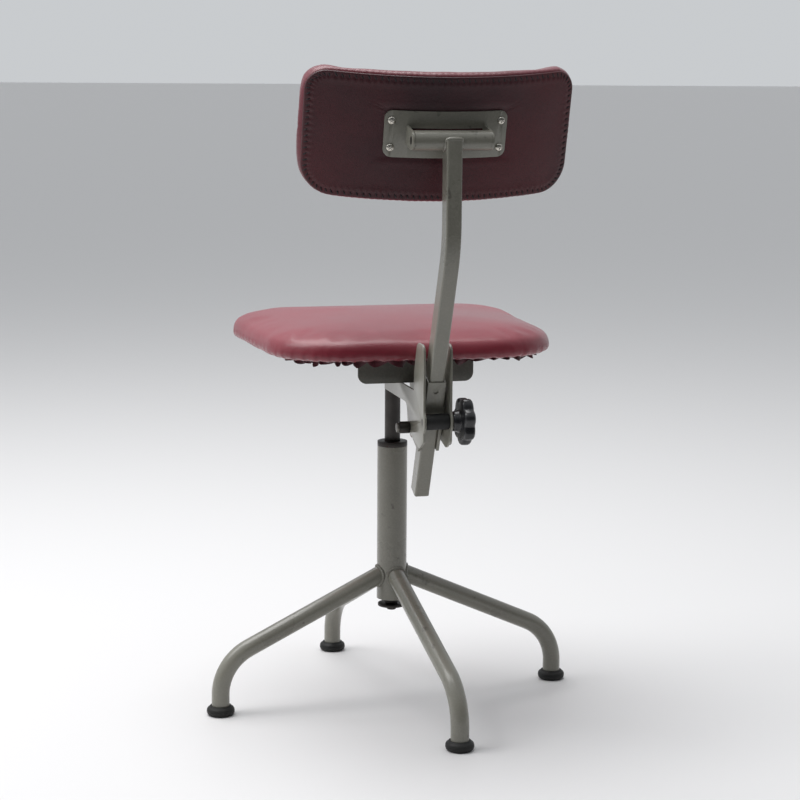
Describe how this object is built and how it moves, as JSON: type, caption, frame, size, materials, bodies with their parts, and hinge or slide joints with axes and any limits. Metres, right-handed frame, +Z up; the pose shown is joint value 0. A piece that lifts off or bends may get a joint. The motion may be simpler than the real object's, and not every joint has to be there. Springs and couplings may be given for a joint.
{
  "type": "drafting chair",
  "caption": "Drafting chair with a tube base, a screw-height swivel seat in burgundy vinyl and a tilting curved backrest on a sliding arm.",
  "frame": {"origin": "on the floor, on the column's axis, midway between the feet", "axes": "+Z up, -Y the front that the sitter faces, +X the sitter's left"},
  "size_m": [0.545, 0.5855, 0.9031],
  "materials": {
    "grey_paint": "satin warm grey enamel",
    "dark_paint": "satin dark grey enamel",
    "dark_steel": "oiled dark steel",
    "zinc_steel": "dull zinc plate",
    "nickel": "nickel plate",
    "black_rubber": "moulded matt",
    "black_plastic": "moulded gloss",
    "fibre": "pressed fibre",
    "plywood": "bare",
    "seat_vinyl": "semi-gloss burgundy vinyl",
    "hem_cloth": "gathered dark burgundy",
    "back_vinyl": "semi-gloss burgundy vinyl",
    "back_leather": "dark oxblood leather"
  },
  "bodies": {
    "base": {"column_tube": "grey_paint", "top_bush": "dark_steel", "spindle_nut": "dark_steel", "leg_left": "grey_paint", "leg_rear": "grey_paint", "leg_right": "grey_paint", "leg_front": "grey_paint", "foot_cap_left": "black_rubber", "foot_cap_rear": "black_rubber", "foot_cap_right": "black_rubber", "foot_cap_front": "black_rubber"},
    "lift": {"stop_washer": "dark_steel"},
    "seat": {"spindle": "dark_steel", "spindle_flange": "dark_paint", "stop_bolt": "dark_steel", "seat_carrier": "dark_paint", "carrier_screws": "zinc_steel", "seat_board": "plywood", "seat_cushion": "seat_vinyl", "seat_hem": "hem_cloth", "bracket_plate_left": "grey_paint", "bracket_plate_right": "grey_paint", "pivot_boss": "dark_steel", "pivot_bolt": "zinc_steel", "knob_bolt": "zinc_steel", "clamp_buffer": "black_rubber"},
    "clamp_knob": {"star_knob": "black_plastic"},
    "pivot_nut": {"wing_nut": "zinc_steel"},
    "holder": {"arm_holder": "grey_paint", "friction_washer_left": "fibre", "friction_washer_right": "fibre"},
    "arm": {"back_arm": "grey_paint", "cross_tube": "grey_paint", "cross_bush_left": "black_plastic", "cross_bush_right": "black_plastic"},
    "backrest": {"back_plate": "grey_paint", "pivot_rod": "dark_steel", "plate_screws": "nickel", "back_board": "plywood", "back_pad": "back_vinyl", "back_cover": "back_leather"}
  },
  "joints": [
    {"name": "seat_height", "type": "slide", "parent": "base", "child": "lift", "axis": [0, 0, 1], "range_m": [-0.0751, 0.0076]},
    {"name": "seat_swivel", "type": "hinge", "parent": "lift", "child": "seat", "pos_m": [0, 0, 0.4], "axis": [0, 0, 1], "range_deg": [-5400, 540]},
    {"name": "back_angle", "type": "hinge", "parent": "seat", "child": "holder", "pos_m": [0, 0.17, 0.4225], "axis": [1, 0, 0], "range_deg": [-7, 8]},
    {"name": "back_height", "type": "slide", "parent": "holder", "child": "arm", "axis": [0, 0.3939, 0.9191], "range_m": [-0.06, 0.05]},
    {"name": "backrest_tilt", "type": "hinge", "parent": "arm", "child": "backrest", "pos_m": [0, 0.2955, 0.8045], "axis": [1, 0, 0], "range_deg": [-12, 15]},
    {"name": "knob_turn", "type": "hinge", "parent": "seat", "child": "clamp_knob", "pos_m": [-0.032, 0.236, 0.44], "axis": [1, 0, 0], "range_deg": [-20, 720]},
    {"name": "wing_nut_turn", "type": "hinge", "parent": "seat", "child": "pivot_nut", "pos_m": [-0.027, 0.17, 0.4225], "axis": [1, 0, 0], "range_deg": [-20, 720]}
  ],
  "couplings": [
    {"joint": "seat_height", "follows": "seat_swivel", "m_per_rad": 0.00079577}
  ]
}
